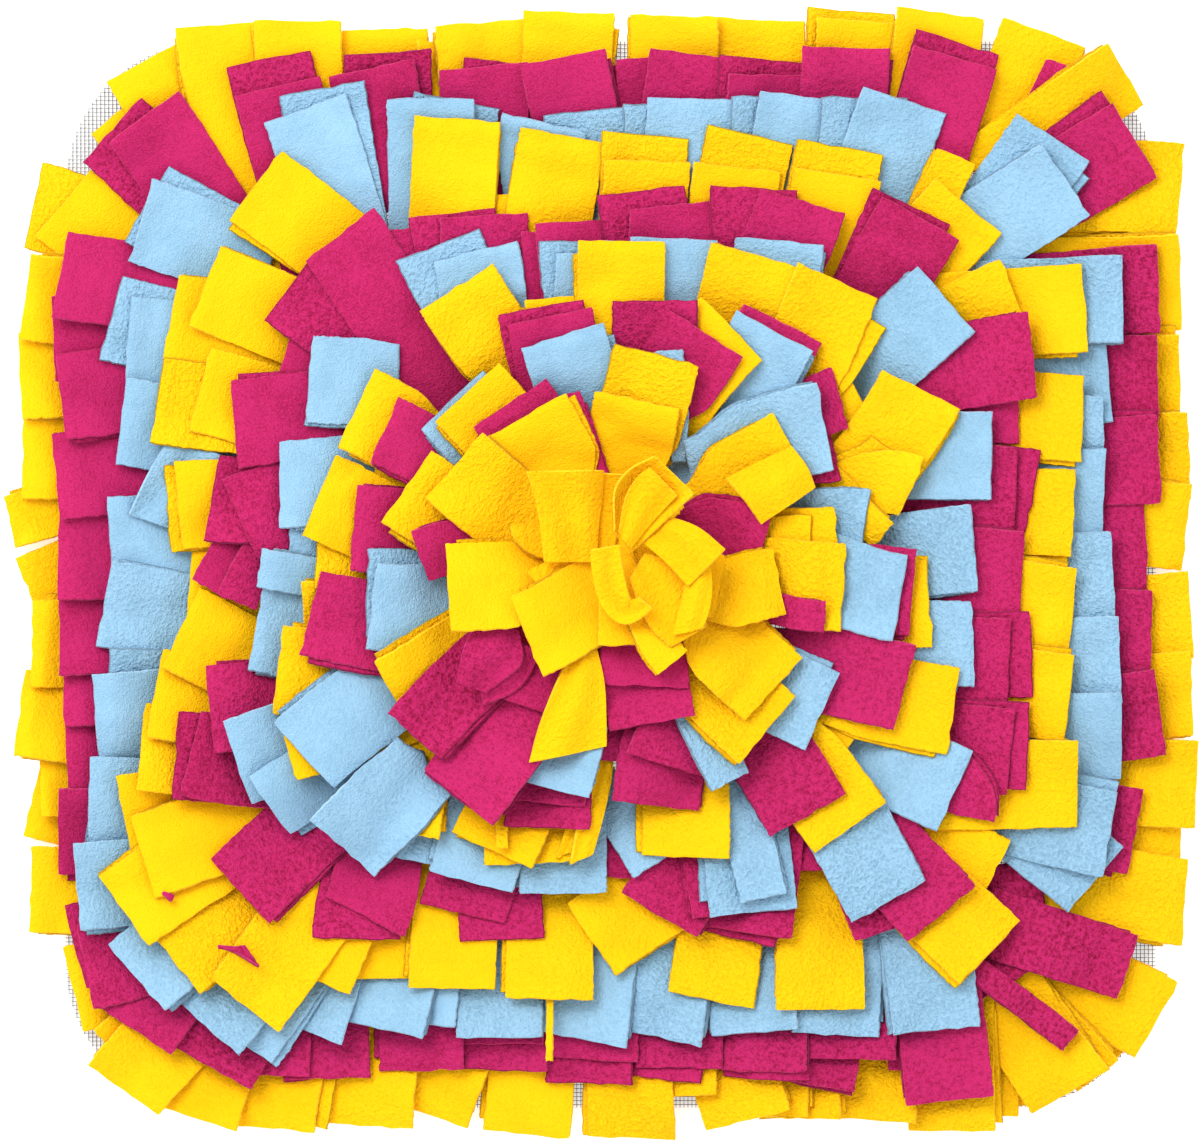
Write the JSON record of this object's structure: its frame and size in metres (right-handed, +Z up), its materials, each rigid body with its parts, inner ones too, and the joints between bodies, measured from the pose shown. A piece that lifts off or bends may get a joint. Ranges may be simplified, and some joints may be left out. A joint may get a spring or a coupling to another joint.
{
  "type": "snuffle mat",
  "caption": "Square-cornered snuffle mat: rows of folded fleece strips in yellow, magenta and light blue sewn round a net backing, with a tuft in the middle.",
  "frame": {"origin": "middle of the mat's underside, on the surface that it lies on", "axes": "+X to the right edge, +Y to the back edge, +Z up out of the pile"},
  "size_m": [0.4502, 0.4282, 0.0514],
  "materials": {
    "yellow_fleece": "brushed polyester fleece, soft short nap, bright yellow",
    "magenta_fleece": "brushed polyester fleece, soft short nap, magenta",
    "blue_fleece": "brushed polyester fleece, soft short nap, light blue",
    "white_net": "fine woven mesh of white and grey threads"
  },
  "bodies": {
    "root": {"net_backing": "white_net", "row_01_yellow": "yellow_fleece", "row_02_magenta": "magenta_fleece", "row_03_blue": "blue_fleece", "row_04_yellow": "yellow_fleece", "row_05_magenta": "magenta_fleece", "row_06_blue": "blue_fleece", "row_07_yellow": "yellow_fleece", "row_08_magenta": "magenta_fleece", "row_09_blue": "blue_fleece", "row_10_yellow": "yellow_fleece", "row_11_magenta": "magenta_fleece", "centre_tuft": "yellow_fleece"}
  },
  "joints": []
}
